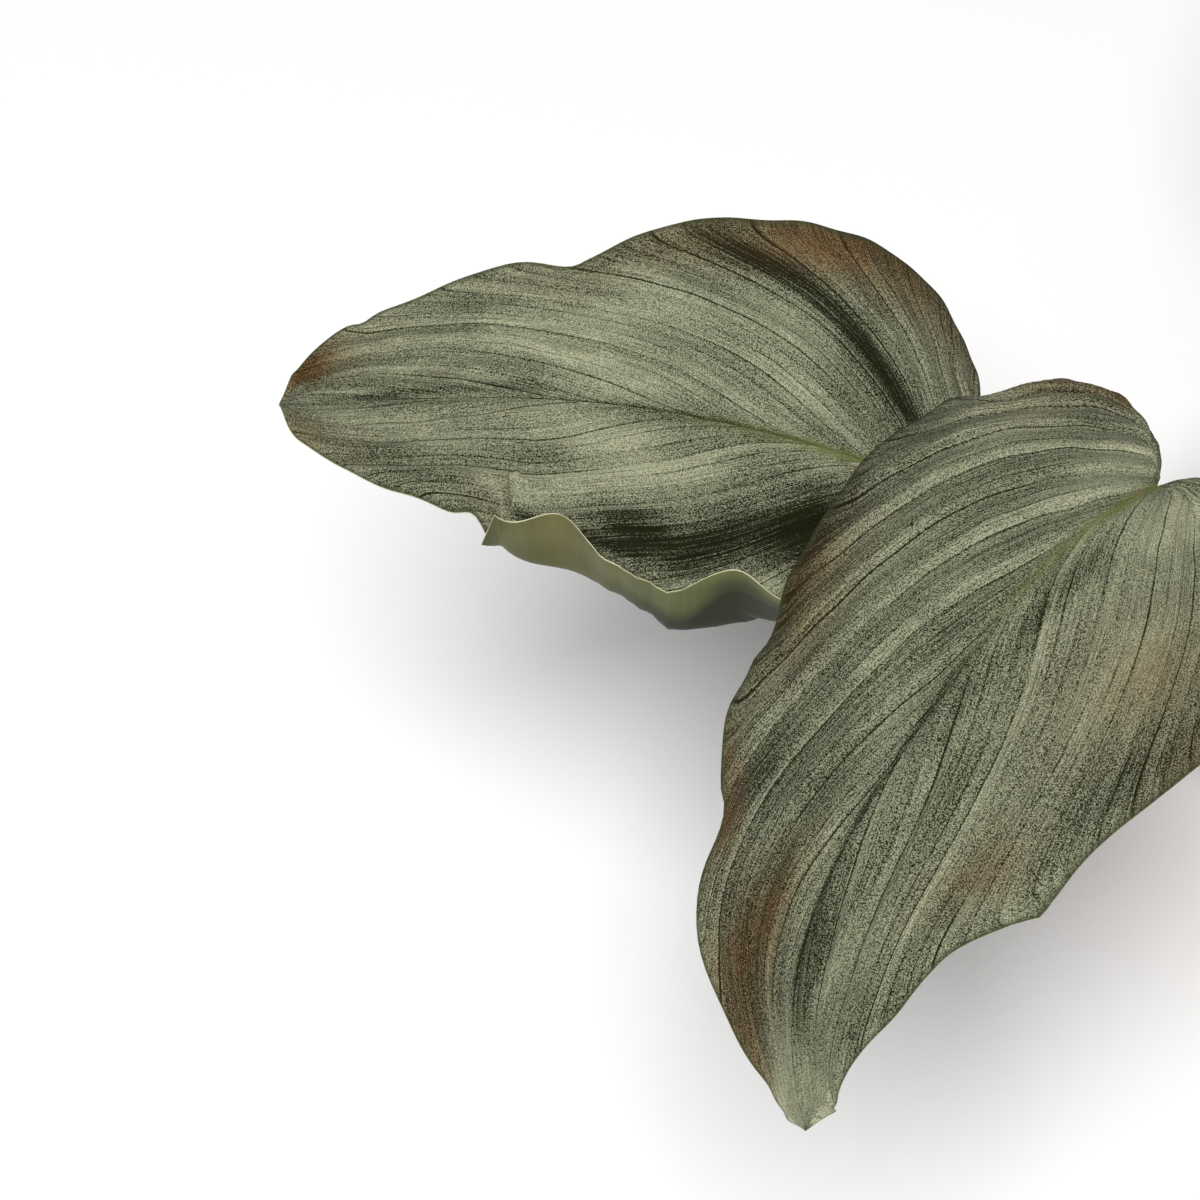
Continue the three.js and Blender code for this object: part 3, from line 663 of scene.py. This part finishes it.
leftLeaf = {
    "node": "leaf_left", "place": 0, "length": 115, "base": (-131.5, -36, 172),
    "heading": [-18, -13, -6, -5], "pitch": [-8, 1, 9, 12], "roll": [0, -5, 0],
    "left": {
        "s": [0, -10, -16, -15, -11, -6, 4, 16, 29, 47, 66, 82, 98, 110, 115],
        "t": [0, 2, 8, 14, 20, 27, 34, 40, 41, 38, 33, 21.5, 15, 8, 0],
        "dihedral": [-28, -30, -30, -24, -12, -4, 0], "curl": [103, 103],
        "curlFrom": [0.62, 0.62, 0.62, 0.62, 0.62, 0.62, 0.56, 0.53, 0.67, 0.57, 0.6, 0.63, 0.6, 0.6, 0.6],
        "curlTo": [0.8, 0.8], "rolls": [(0.533, 27, 0.05), (0.683, 21, 0.025)],
        "tuck": (0.739, 0.7414, 11, 0.7348, 0.7403),  # the rolled margin: its end, width and end of curl
        "waves": [(0.754, -3.3, 0.0165), (0.83, 0.8, 0.03)],
        "teeth": [(0.64, 0.6, 0.004), (0.628, -0.5, 0.003), (0.612, 0.5, 0.003), (0.6, -0.4, 0.003),
                  (0.585, 0.5, 0.004)],
    },
    "right": {
        "s": [0, -12, -16, -10, 0, 16, 37, 60, 85, 108, 115],
        "t": [0, 6, 15, 25, 36, 41, 38, 30, 22, 11, 0],
        "dihedral": [-2, 18, 4], "curl": [-60, -50, -20, 0, 0], "curlFrom": [0.4, 0.5],
        "waves": [(0.33, 1, 0.03), (0.63, 0.7, 0.02), (0.705, -4, 0.028), (0.88, 1.2, 0.02),
                  (0.97, 2.2, 0.022)],
        "teeth": [(0.86, -0.9, 0.008)],
        "folds": [(0.42, 0.4, -1.6, 0.5, 0.16), (1.2, 0.45, 0.8, 0.5, 0.18)],
    },
    "arrive": 30, "lift": 0.2, "rows": 190, "columns": 72, "puff": 1.2, "ruffle": 0.7,
    "thick": 0.5, "seed": 2.9, "tint": leftTintAndShade,
}


# A leaf outside the photo, with the same numbers as in the solids: its place in the crown, the turn, reach
# and height of its base, its length, the swing of its midrib, and how it rises and droops.
def otherLeaf(node, place, turn, reach, height, length, swing, rise, droop):
    scale = length / 130
    turned = math.radians(turn)

    def half(slope):
        return {
            "s": [value * scale for value in (0, -15, -21, -17, -4, 15, 40, 68, 97, 123, 130)],
            "t": [value * scale for value in (0, 5, 17, 29, 38, 42, 40, 33, 21, 7, 0)],
            "dihedral": [slope, slope - 8, 0], "curl": [-45, -40, -30, -18, 0], "curlFrom": [0.4, 0.5],
            "curlWave": (18, 0.17, 0.55),  # swing, period and place of a crest
        }

    return {
        "node": node, "place": place, "length": length,
        "base": (-reach * math.cos(turned), -reach * math.sin(turned), height),
        "heading": [turn, turn + swing / 2, turn + swing],
        "pitch": [-rise, droop * 0.25, droop * 0.7, droop], "roll": [0, 0],
        "left": half(4), "right": half(-2), "arrive": 58, "lift": 0.45, "rows": 96, "columns": 44,
        "puff": 0.8, "ruffle": 0.6, "thick": 0.5, "seed": 3.7 + place, "tint": commonTintAndShade,
    }


leaves = [
    leftLeaf,
    frontLeaf,
    otherLeaf("leaf_young", 2, 96, 30, 198, 86, 10, 34, 26),
    otherLeaf("leaf_right_front", 3, 132, 76, 150, 120, -10, 4, 46),
    otherLeaf("leaf_right", 4, 174, 96, 184, 132, 12, 16, 44),
    otherLeaf("leaf_right_back", 5, 218, 76, 152, 122, -6, 4, 40),
    otherLeaf("leaf_back", 6, 262, 80, 186, 126, -10, 18, 42),
]


# Where the petioles stand, and how thick they are on their way up and under the midrib.
soilTop = 84
petioleForm = {
    "crownRadius": 9.5, "crownTurn": 340, "footDepth": 12, "straight": 15,
    "footRadius": 2.9, "neckRadius": 1.7, "endRadius": 0.5,
    "joinAt": 0.03, "keelLength": 0.83, "keelGap": 0.42, "lead": 0.35,
    "steps": 40, "keelSteps": 24, "sides": 16,
}


# Faces between neighbouring rings of vertices. A ring of one vertex is a pole.
def bridgeRings(bm, rings):
    for a, b in zip(rings, rings[1:]):
        sides = max(len(a), len(b))
        for k in range(sides):
            n = (k + 1) % sides
            corners = [a[k % len(a)], a[n % len(a)], b[n % len(b)], b[k % len(b)]]
            bm.faces.new(list(dict.fromkeys(corners)))


# A smooth tube through points with a radius at each, its ends closed.
def tubePiece(name, points, radii, sides, material):
    bm = bmesh.new()
    across = Vector((0.31, 0.95, 0.02)).normalized()
    rings = []
    for i, point in enumerate(points):
        tangent = (points[min(i + 1, len(points) - 1)] - points[max(i - 1, 0)]).normalized()
        across = (across - tangent * across.dot(tangent)).normalized()
        other = tangent.cross(across)
        ring = []
        for k in range(sides):
            angle = 2 * math.pi * k / sides
            offset = (across * math.cos(angle) + other * math.sin(angle)) * radii[i]
            ring.append(bm.verts.new((point + offset) * mm))
        rings.append(ring)
    bridgeRings(bm, rings)
    bm.faces.new(rings[0][::-1])
    bm.faces.new(rings[-1])
    for face in bm.faces:
        face.smooth = len(face.verts) == 4
    return pieceFrom(bm, name, material)


def cubic(a, b, c, d, t):
    return a * (1 - t) ** 3 + b * 3 * t * (1 - t) ** 2 + c * 3 * t * t * (1 - t) + d * t ** 3


# The petiole rises from the crown, bends out to the blade and runs on as the keel of the midrib.
def petiolePiece(leaf, material):
    form = petioleForm
    footRadius, neckRadius, endRadius = form["footRadius"], form["neckRadius"], form["endRadius"]
    turn = math.radians(form["crownTurn"] + 360 * leaf["place"] / len(leaves))
    foot = Vector((-form["crownRadius"] * math.cos(turn), -form["crownRadius"] * math.sin(turn),
                   soilTop - form["footDepth"]))
    collar = foot + Vector((0, 0, form["straight"]))
    midrib = midribOf(leaf)

    def at(key, s):
        return Vector(readMidrib(midrib, key, np.array([s]))[0])

    joinAt = form["joinAt"]
    tangent = at("tangent", joinAt)
    join = at("at", joinAt) - at("normal", joinAt) * (neckRadius - 0.1)
    span = (join - collar).length
    flat = Vector((tangent.x, tangent.y, 0)).normalized()
    arrive = math.radians(leaf["arrive"])
    coming = flat * math.cos(arrive) + Vector((0, 0, math.sin(arrive)))
    rise = collar + Vector((0, 0, span * leaf["lift"]))
    enter = join - coming * span * form["lead"]
    points = [foot]
    radii = [footRadius]
    for i in range(form["steps"] + 1):
        t = i / form["steps"]
        points.append(cubic(collar, rise, enter, join, t))
        radii.append(footRadius + (neckRadius - footRadius) * t)
    for i in range(1, form["keelSteps"] + 1):
        f = i / form["keelSteps"]
        s = joinAt + form["keelLength"] * f
        radius = neckRadius + (endRadius - neckRadius) * f
        points.append(at("at", s) - at("normal", s) * (radius + form["keelGap"]))
        radii.append(radius)
    return tubePiece(leaf["node"].replace("leaf", "petiole"), points, radii, form["sides"], material)


velvet = velvetMaterial("velvet", velvetLook)
back = backMaterial("blade_back", backLook)
rim = rimMaterial("blade_rim", rimLook)
stalk = stalkMaterial("petiole", stalkLook["petioleLow"], stalkLook["petioleHigh"])

for leaf in leaves:
    blade = bladePiece(leaf["node"].replace("leaf", "blade"), leaf, [velvet, back, rim])
    joinTo(blade, leaf["node"])
    joinTo(petiolePiece(leaf, stalk), leaf["node"])
    print("leaf", leaf["node"])

# The rolled leaf: a blade wound round itself, its outer margin running up in a slow spiral.
rolledLeaf = {
    "base": Vector((-3, -4, 130)), "tip": Vector((-9, -13, 188)),
    "radii": [2.0, 2.7, 3.8, 4.2, 4.0, 3.2, 2.1, 1.0, 0.35],
    "windings": 1.7, "twist": 2.2, "core": 0.5, "tipFrom": 0.98, "tipReach": 0.6,
    "rows": 60, "columns": 72, "wall": 0.3,
    "petiole": [(0, 0, 72), (0, 0, 87), (-0.9, -1.2, 104), (-2, -2.8, 118)],
    "petioleRadii": [2.4, 2.4, 2.2, 2.05, 2.0, 1.6], "petioleEnd": 0.06, "sides": 16,
    "low": (0.13, 0.17, 0.06, 1), "high": (0.28, 0.33, 0.15, 1),
}


# A flat grid whose x becomes the way round and whose y becomes the way up.
def rolledPiece(leaf, material):
    axis = (leaf["tip"] - leaf["base"]).normalized()
    across = axis.cross(Vector((0, 1, 0))).normalized()
    other = axis.cross(across)
    bm = bmesh.new()
    bmesh.ops.create_grid(bm, x_segments=leaf["columns"], y_segments=leaf["rows"], size=0.5)
    for vert in bm.verts:
        wind, f = vert.co.x + 0.5, vert.co.y + 0.5
        radius = float(along(leaf["radii"], np.array([f]))[0])
        angle = 2 * math.pi * leaf["windings"] * wind + leaf["twist"] * f
        reach = radius * (leaf["core"] + (1 - leaf["core"]) * wind)
        if f > leaf["tipFrom"]:
            reach = radius * leaf["tipReach"]
        spot = leaf["base"].lerp(leaf["tip"], f)
        vert.co = (spot + (across * math.cos(angle) + other * math.sin(angle)) * reach) * mm
    for face in bm.faces:
        face.smooth = True
    piece = pieceFrom(bm, "rolled_blade", material)
    wall = piece.modifiers.new("wall", "SOLIDIFY")
    wall.thickness = leaf["wall"] * mm
    wall.offset = -1
    return piece


def rolledPetiolePiece(leaf, material):
    path = [Vector(spot) for spot in leaf["petiole"]] + [leaf["base"]]
    path.append(leaf["base"].lerp(leaf["tip"], leaf["petioleEnd"]))
    return tubePiece("rolled_petiole", path, leaf["petioleRadii"], leaf["sides"], material)


newGreen = stalkMaterial("new_leaf", rolledLeaf["low"], rolledLeaf["high"])
joinTo(rolledPiece(rolledLeaf, newGreen), "leaf_rolled")
joinTo(rolledPetiolePiece(rolledLeaf, newGreen), "leaf_rolled")
print("rolled leaf")

# Pot: a moulded wall turned round the axis, with drain holes in its foot.
pot = {
    # Radius and height, from the middle of the foot up the outside, over the rim and down the inside.
    "profile": [(0, 0), (27, 0), (35.6, 0), (36.6, 0.25), (37, 0.9), (40, 20), (48.6, 76.5), (49.2, 77.2),
                (51.2, 78), (51.5, 78.6), (52, 93.6), (51.7, 94.6), (51, 95), (50.2, 95), (49.7, 94.6),
                (49.6, 94), (48.8, 79), (46.2, 75.5), (37.5, 20), (34.8, 3.2), (34.2, 2.4), (0, 2.4)],
    "sides": 144, "drains": 6, "drainRing": 27, "drainRadius": 4, "drainSides": 28, "drainDepth": 12,
    "drainHeight": 1.2, "sharpFrom": 40,
    "low": (0.30, 0.105, 0.052, 1), "high": (0.37, 0.14, 0.072, 1), "roughness": (0.48, 0.62),
    "cloud": (30, 4.0, 0.6), "grain": (1300, 2.0, 0.6), "streak": ((160, 160, 14), 3.0, 0.6),
    "dust": (0.33, 0.24, 0.17, 1), "dustHeight": 0.03, "dustShare": 0.5, "relief": (0.18, 0.0003),
}


def potMaterial(look):
    material, tree, shader = newMaterial("pot_plastic")
    point = objectPoint(tree)
    cloud = noiseNode(tree, point, *look["cloud"])
    streak = streakNode(tree, point, *look["streak"])
    color = mixColor(tree, rangeNode(tree, cloud, 0.3, 0.7), look["low"], look["high"])
    low = rangeNode(tree, splitNode(tree, point)["Z"], 0.0, look["dustHeight"], 1.0, 0.0)
    dust = timesNode(tree, timesNode(tree, low, rangeNode(tree, streak, 0.35, 0.7)), look["dustShare"])
    color = mixColor(tree, dust, color, look["dust"])
    tree.links.new(color, shader.inputs["Base Color"])
    tree.links.new(rangeNode(tree, cloud, 0.3, 0.7, *look["roughness"]), shader.inputs["Roughness"])
    relief = bumpNode(tree, noiseNode(tree, point, *look["grain"]), *look["relief"])
    tree.links.new(relief, shader.inputs["Normal"])
    return material


def potPiece(pot):
    bm = bmesh.new()
    profile = [bm.verts.new((radius * mm, 0, z * mm)) for radius, z in pot["profile"]]
    edges = [bm.edges.new(pair) for pair in zip(profile, profile[1:])]
    bmesh.ops.spin(bm, geom=profile + edges, cent=(0, 0, 0), axis=(0, 0, 1), angle=2 * math.pi,
                   steps=pot["sides"], use_merge=True)
    bmesh.ops.remove_doubles(bm, verts=bm.verts, dist=0.01 * mm)
    bmesh.ops.recalc_face_normals(bm, faces=bm.faces)
    for face in bm.faces:
        face.smooth = True
    piece = pieceFrom(bm, "pot_shell", potMaterial(pot))
    cutter = bmesh.new()
    ring, hole = pot["drainRing"], pot["drainRadius"] * mm
    for k in range(pot["drains"]):
        angle = 2 * math.pi * k / pot["drains"]
        spot = Vector((ring * math.cos(angle), ring * math.sin(angle), pot["drainHeight"]))
        bmesh.ops.create_cone(cutter, cap_ends=True, segments=pot["drainSides"], radius1=hole, radius2=hole,
                              depth=pot["drainDepth"] * mm, matrix=Matrix.Translation(spot * mm))
    holes = pieceFrom(cutter, "drain_holes")
    cut = piece.modifiers.new("drain", "BOOLEAN")
    cut.operation = "DIFFERENCE"
    cut.object = holes
    depsgraph = bpy.context.evaluated_depsgraph_get()
    drilled = bpy.data.meshes.new_from_object(piece.evaluated_get(depsgraph))
    piece.modifiers.clear()
    piece.data = drilled
    bpy.data.objects.remove(holes)
    drilled.set_sharp_from_angle(angle=math.radians(pot["sharpFrom"]))
    return piece


joinTo(potPiece(pot), "pot")
print("pot")

# Potting mix: a rough bed with bark, grit and pale grains lying in it.
soil = {
    "radius": 48.5, "rings": 46, "sides": 150, "seed": 5, "roughness": 0.35, "edgeDrop": 0.4,
    "relief": 2.2, "calmFrom": 23.5, "calmTo": 12.5,  # the bed is level near the petioles
    "below": [(48.3, 79), (45.7, 75.8), (34.0, 3.0), (20.0, 2.75)], "bottom": 2.75,  # radius and height
    "low": (0.016, 0.011, 0.007, 1), "high": (0.085, 0.056, 0.036, 1), "crumb": (0.14, 0.1, 0.07, 1),
    "coarse": (260, 5.0, 0.7), "coarseRelief": (0.9, 0.002),
    "fine": (1100, 3.0, 0.7), "fineRelief": (0.7, 0.0008), "shader": {"Roughness": 0.95},
}


def soilMaterial(look):
    material, tree, shader = newMaterial("potting_mix")
    point = objectPoint(tree)
    coarse = noiseNode(tree, point, *look["coarse"])
    fine = noiseNode(tree, point, *look["fine"])
    color = mixColor(tree, rangeNode(tree, coarse, 0.32, 0.68), look["low"], look["high"])
    color = mixColor(tree, rangeNode(tree, fine, 0.55, 0.75, 0.0, 0.6), color, look["crumb"])
    tree.links.new(color, shader.inputs["Base Color"])
    relief = bumpNode(tree, coarse, *look["coarseRelief"], bumpNode(tree, fine, *look["fineRelief"]))
    tree.links.new(relief, shader.inputs["Normal"])
    setShader(shader, look["shader"])
    return material


def soilHeight(x, y):
    coarse = math.sin(x * 0.31 + 1.3 * math.sin(y * 0.23)) * math.cos(y * 0.37 - 0.8 * math.sin(x * 0.19))
    fine = math.sin(x * 0.9 + 2.1) * math.cos(y * 0.83 - 0.6)
    calm = float(ease(soil["calmTo"], soil["calmFrom"], math.hypot(x, y)))
    return calm * soil["relief"] * (0.65 * coarse + 0.35 * fine)


def soilPiece():
    count, sides = soil["rings"], soil["sides"]
    rng = random.Random(soil["seed"])
    bm = bmesh.new()

    def ringOf(radius, height):
        ring = []
        for k in range(sides if radius else 1):
            angle = 2 * math.pi * k / sides
            x, y = radius * math.cos(angle), radius * math.sin(angle)
            ring.append(bm.verts.new((x * mm, y * mm, height(x, y) * mm)))
        return ring

    def rough(x, y):
        return soilTop + soilHeight(x, y) + rng.uniform(-soil["roughness"], soil["roughness"])

    def level(x, y):
        return soilTop + soilHeight(x, y) - soil["edgeDrop"]

    rings = [ringOf(soil["radius"] * i / count, rough if 0 < i < count else level) for i in range(count + 1)]
    for radius, z in soil["below"] + [(0, soil["bottom"])]:
        rings.append(ringOf(radius, lambda x, y: z))
    bridgeRings(bm, rings)
    bmesh.ops.recalc_face_normals(bm, faces=bm.faces)
    for face in bm.faces:
        face.smooth = True
    return pieceFrom(bm, "potting_bed", soilMaterial(soil))


# Loose pieces on the bed, each a rough lump or a flat flake.
chips = {
    "bark_chips": {
        "count": 150, "size": 3.4, "squash": 0.4, "seed": 11, "material": "bark",
        "grain": (420, 4.0, 0.65), "low": (0.05, 0.025, 0.013, 1), "high": (0.19, 0.105, 0.06, 1),
    },
    "perlite_grains": {
        "count": 90, "size": 1.5, "squash": 0.85, "seed": 12, "material": "perlite",
        "grain": (700, 4.0, 0.65), "low": (0.5, 0.48, 0.44, 1), "high": (0.72, 0.7, 0.66, 1),
    },
    "grit_grains": {
        "count": 160, "size": 1.2, "squash": 0.8, "seed": 13, "material": "grit",
        "grain": (700, 4.0, 0.65), "low": (0.09, 0.075, 0.06, 1), "high": (0.22, 0.19, 0.16, 1),
    },
}
chipForm = {
    "radius": 46, "clearMiddle": 0.09, "rise": 0.2, "tilt": 0.5, "narrow": (0.5, 0.85), "lumps": (0.82, 1.12),
    "relief": (0.7, 0.0008), "shader": {"Roughness": 0.85},
}


def chipMaterial(kind):
    material, tree, shader = newMaterial(kind["material"])
    grain = noiseNode(tree, objectPoint(tree), *kind["grain"])
    color = mixColor(tree, rangeNode(tree, grain, 0.3, 0.7), kind["low"], kind["high"])
    tree.links.new(color, shader.inputs["Base Color"])
    tree.links.new(bumpNode(tree, grain, *chipForm["relief"]), shader.inputs["Normal"])
    setShader(shader, chipForm["shader"])
    return material


def chipsPiece(name, kind):
    rng = random.Random(kind["seed"])
    bm = bmesh.new()
    for _ in range(kind["count"]):
        radius = math.sqrt(rng.uniform(chipForm["clearMiddle"], 1)) * chipForm["radius"]
        angle = rng.uniform(0, 2 * math.pi)
        x, y = radius * math.cos(angle), radius * math.sin(angle)
        reach = rng.uniform(0.5, 1) * kind["size"]
        z = soilTop + soilHeight(x, y) + chipForm["rise"] * reach * kind["squash"]
        turn = Matrix.Rotation(rng.uniform(0, math.pi), 4, "Z")
        turn = turn @ Matrix.Rotation(rng.uniform(-chipForm["tilt"], chipForm["tilt"]), 4, "X")
        shape = Matrix.Diagonal((1, rng.uniform(*chipForm["narrow"]), kind["squash"], 1))
        place = Matrix.Translation(Vector((x, y, z)) * mm)
        made = bmesh.ops.create_icosphere(bm, subdivisions=2, radius=reach * mm, matrix=place @ turn @ shape)
        for vert in made["verts"]:
            away = vert.co - place.translation
            vert.co = place.translation + away * rng.uniform(*chipForm["lumps"])
    for face in bm.faces:
        face.smooth = False
    return pieceFrom(bm, name, chipMaterial(kind))


joinTo(soilPiece(), "soil")
for name, kind in chips.items():
    joinTo(chipsPiece(name, kind), "soil")
print("potting mix")

# Floor, light and camera. Places and distances are in metres here, angles in degrees.
studio = {
    "floorSize": 6,
    "floor": {"Base Color": (0.92, 0.92, 0.92, 1), "Roughness": 0.9, "Specular IOR Level": 0.1},
    "focus": Vector((-0.184, -0.05, 0.12)),
    "lights": {
        "key": {"azimuth": -18, "elevation": 69.5, "distance": 3.2, "size": 1.6, "power": 121},
        "overhead": {"azimuth": 150, "elevation": 80, "distance": 2.4, "size": 1.8, "power": 6},
    },
    "sky": {"Color": (1, 1, 1, 1), "Strength": 0.08},
    "lens": 85, "sensor": 36, "cameraAt": (-0.184, -0.31, 0.60033), "cameraTilt": 30,
}


def floorPiece():
    material, _, shader = newMaterial("floor")
    setShader(shader, studio["floor"])
    bm = bmesh.new()
    bmesh.ops.create_grid(bm, x_segments=1, y_segments=1, size=studio["floorSize"])
    return pieceFrom(bm, "floor", material)


def areaLight(name, azimuth, elevation, distance, size, power):
    data = bpy.data.lights.new(name, "AREA")
    data.shape = "DISK"
    data.size = size
    data.energy = power
    a, e = math.radians(azimuth), math.radians(elevation)
    away = Vector((math.sin(a) * math.cos(e), -math.cos(a) * math.cos(e), math.sin(e)))
    light = addPiece(name, data)
    light.location = studio["focus"] + away * distance
    light.rotation_euler = (-away).to_track_quat("-Z", "Y").to_euler()


floorPiece()
for name, light in studio["lights"].items():
    areaLight(name, **light)
world = bpy.data.worlds.new("studio")
world.use_nodes = True
setShader(world.node_tree.nodes["Background"], studio["sky"])
bpy.context.scene.world = world
bpy.context.scene.view_settings.view_transform = "Standard"

camera = bpy.data.cameras.new("camera")
camera.lens = studio["lens"]
camera.sensor_width = studio["sensor"]
view = addPiece("camera", camera)
view.location = studio["cameraAt"]
view.rotation_euler = (math.radians(studio["cameraTilt"]), 0, 0)
bpy.context.scene.camera = view
print("floor, light and camera")
